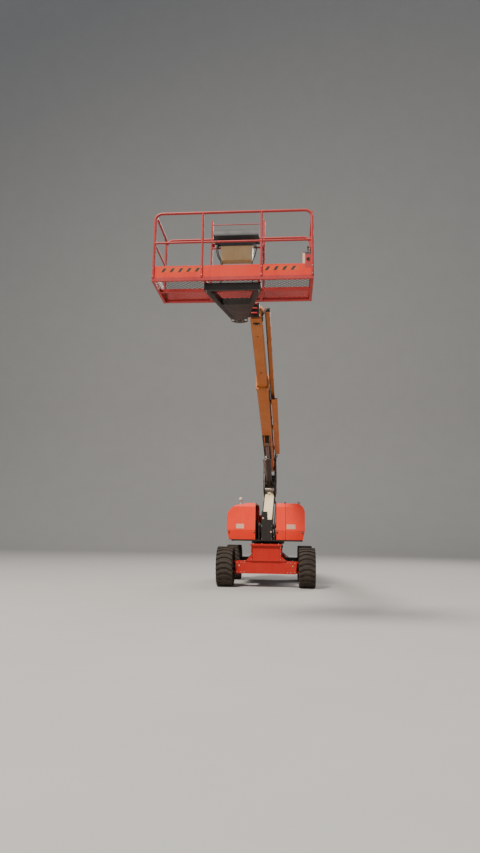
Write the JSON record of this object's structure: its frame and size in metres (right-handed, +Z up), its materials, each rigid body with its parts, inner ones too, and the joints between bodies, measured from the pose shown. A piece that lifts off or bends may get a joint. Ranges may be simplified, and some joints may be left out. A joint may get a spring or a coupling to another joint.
{
  "type": "articulating boom lift",
  "caption": "Self-propelled boom lift: a raising tower boom carries an upright and a telescopic main boom, with a railed work platform at the tip.",
  "frame": {"origin": "middle of the machine's footprint box, on the ground", "axes": "-Y is forward, towards the work platform; +X is the right of someone facing the machine from its platform end; +Z is up"},
  "size_m": [2.72, 10.7278, 6.5552],
  "materials": {
    "red_paint": "satin",
    "cream_paint": "satin",
    "black_paint": "satin",
    "dark_paint": "satin",
    "tan_paint": "satin",
    "chrome": "polished",
    "grey_plastic": "matte",
    "pale_plastic": "matte",
    "tyre": "matte"
  },
  "bodies": {
    "chassis": {"chassis_frame": "red_paint", "tie_down_lugs": "red_paint", "front_axle": "red_paint", "rear_axle": "black_paint", "swing_bearing": "black_paint", "steer_cylinder": "black_paint"},
    "tie_rod_body": {"tie_rod": "chrome"},
    "steer_left_body": {"knuckle_left": "black_paint"},
    "steer_right_body": {"knuckle_right": "black_paint"},
    "wheel_front_left": {"tyre_front_left": "tyre", "rim_front_left": "cream_paint"},
    "wheel_front_right": {"tyre_front_right": "tyre", "rim_front_right": "cream_paint"},
    "wheel_rear_left": {"tyre_rear_left": "tyre", "rim_rear_left": "cream_paint"},
    "wheel_rear_right": {"tyre_rear_right": "tyre", "rim_rear_right": "cream_paint"},
    "turntable": {"turntable_frame": "black_paint", "counterweight": "red_paint", "engine_block": "dark_paint", "fluid_tanks": "dark_paint", "control_box": "grey_plastic"},
    "hood_left_body": {"hood_left": "red_paint", "beacon": "pale_plastic"},
    "hood_right_body": {"hood_right": "red_paint"},
    "tower": {"tower_boom": "cream_paint"},
    "links": {"tower_links": "black_paint"},
    "upright_body": {"upright": "black_paint"},
    "tower_barrel_body": {"tower_barrel": "black_paint"},
    "tower_rod_body": {"tower_rod": "chrome"},
    "main_boom": {"boom_base": "cream_paint", "carrier_trough": "cream_paint"},
    "main_barrel_body": {"main_barrel": "black_paint"},
    "main_rod_body": {"main_rod": "chrome"},
    "fly": {"boom_fly": "cream_paint", "carrier_tube": "black_paint"},
    "head": {"platform_head": "black_paint", "rotator": "black_paint"},
    "platform": {"platform_support": "black_paint", "platform_floor": "red_paint", "rail_front": "red_paint", "rail_rear": "red_paint", "rail_left": "red_paint", "rail_right": "red_paint", "console_box": "tan_paint", "console_cover": "grey_plastic", "outlet_box": "grey_plastic"},
    "gate_body": {"gate": "red_paint"}
  },
  "joints": [
    {"name": "steer_left", "type": "hinge", "parent": "chassis", "child": "steer_left_body", "pos_m": [-0.675, 2.24389, 0.505], "axis": [0, 0, 1], "range_deg": [-28, 28]},
    {"name": "spin_front_left", "type": "hinge", "parent": "steer_left_body", "child": "wheel_front_left", "pos_m": [-0.94, 2.24389, 0.505], "axis": [1, 0, 0], "continuous": true},
    {"name": "spin_rear_left", "type": "hinge", "parent": "chassis", "child": "wheel_rear_left", "pos_m": [-0.94, 4.72389, 0.505], "axis": [1, 0, 0], "continuous": true},
    {"name": "steer_right", "type": "hinge", "parent": "chassis", "child": "steer_right_body", "pos_m": [0.905, 2.24389, 0.505], "axis": [0, 0, 1], "range_deg": [-28, 28]},
    {"name": "spin_front_right", "type": "hinge", "parent": "steer_right_body", "child": "wheel_front_right", "pos_m": [1.17, 2.24389, 0.505], "axis": [1, 0, 0], "continuous": true},
    {"name": "spin_rear_right", "type": "hinge", "parent": "chassis", "child": "wheel_rear_right", "pos_m": [1.17, 4.72389, 0.505], "axis": [1, 0, 0], "continuous": true},
    {"name": "steer_slide", "type": "slide", "parent": "chassis", "child": "tie_rod_body", "axis": [1, 0, 0], "range_m": [-0.1049, 0.1049]},
    {"name": "swing", "type": "hinge", "parent": "chassis", "child": "turntable", "pos_m": [0.115, 3.48389, 1.16], "axis": [0, 0, 1], "continuous": true},
    {"name": "hood_left_lift", "type": "hinge", "parent": "turntable", "child": "hood_left_body", "pos_m": [-0.231, 3.48389, 2.09], "axis": [0, 1, 0], "range_deg": [0, 55]},
    {"name": "hood_right_lift", "type": "hinge", "parent": "turntable", "child": "hood_right_body", "pos_m": [0.407, 3.48389, 2.09], "axis": [0, -1, 0], "range_deg": [0, 55]},
    {"name": "tower_lift", "type": "hinge", "parent": "turntable", "child": "tower", "pos_m": [0.115, 2.68389, 1.55], "axis": [1, 0, 0], "range_deg": [-24, 44]},
    {"name": "links_turn", "type": "hinge", "parent": "turntable", "child": "links", "pos_m": [0.115, 2.79389, 1.35], "axis": [1, 0, 0], "range_deg": [-25, 45]},
    {"name": "upright_level", "type": "hinge", "parent": "tower", "child": "upright_body", "pos_m": [0.115, 4.83073, 2.50583], "axis": [1, 0, 0], "range_deg": [-45, 25]},
    {"name": "tower_barrel_turn", "type": "hinge", "parent": "turntable", "child": "tower_barrel_body", "pos_m": [0.115, 2.86389, 1.29], "axis": [1, 0, 0], "range_deg": [-24.94, 44.77]},
    {"name": "tower_rod_slide", "type": "slide", "parent": "tower_barrel_body", "child": "tower_rod_body", "axis": [0, 0.8894, 0.4572], "range_m": [-0.1291, 0.2326]},
    {"name": "main_lift", "type": "hinge", "parent": "upright_body", "child": "main_boom", "pos_m": [0.115, 4.92073, 3.42583], "axis": [-1, 0, 0], "range_deg": [-15.6, 62.4]},
    {"name": "main_barrel_turn", "type": "hinge", "parent": "upright_body", "child": "main_barrel_body", "pos_m": [0.115, 4.63072, 2.83583], "axis": [1, 0, 0], "range_deg": [-59.56, 15.75]},
    {"name": "main_rod_slide", "type": "slide", "parent": "main_barrel_body", "child": "main_rod_body", "axis": [0, -0.9335, 0.3586], "range_m": [-0.1655, 0.6468]},
    {"name": "telescope", "type": "slide", "parent": "main_boom", "child": "fly", "axis": [0, -0.9759, 0.2181], "range_m": [-2.5, 1.1]},
    {"name": "platform_level", "type": "hinge", "parent": "fly", "child": "head", "pos_m": [0.115, -3.51389, 5.32144], "axis": [-1, 0, 0], "range_deg": [-63.4, 16.6]},
    {"name": "platform_rotate", "type": "hinge", "parent": "head", "child": "platform", "pos_m": [-0.14, -3.87389, 5.165], "axis": [0, 0, 1], "range_deg": [-90, 90]},
    {"name": "gate_swing", "type": "hinge", "parent": "platform", "child": "gate_body", "pos_m": [1.06, -5.21589, 5.165], "axis": [0, 0, 1], "range_deg": [0, 90]}
  ],
  "couplings": [
    {"joint": "steer_right", "follows": "steer_left", "ratio": 1},
    {"joint": "steer_slide", "follows": "steer_left", "m_per_rad": -0.20654},
    {"joint": "links_turn", "follows": "tower_lift", "ratio": 1},
    {"joint": "upright_level", "follows": "tower_lift", "ratio": -1},
    {"joint": "tower_barrel_turn", "follows": "tower_lift", "ratio": 0.99154},
    {"joint": "tower_rod_slide", "follows": "tower_lift", "m_per_rad": 0.29635},
    {"joint": "main_barrel_turn", "follows": "main_lift", "ratio": -0.93614},
    {"joint": "main_rod_slide", "follows": "main_lift", "m_per_rad": 0.58931},
    {"joint": "platform_level", "follows": "main_lift", "ratio": -1}
  ]
}
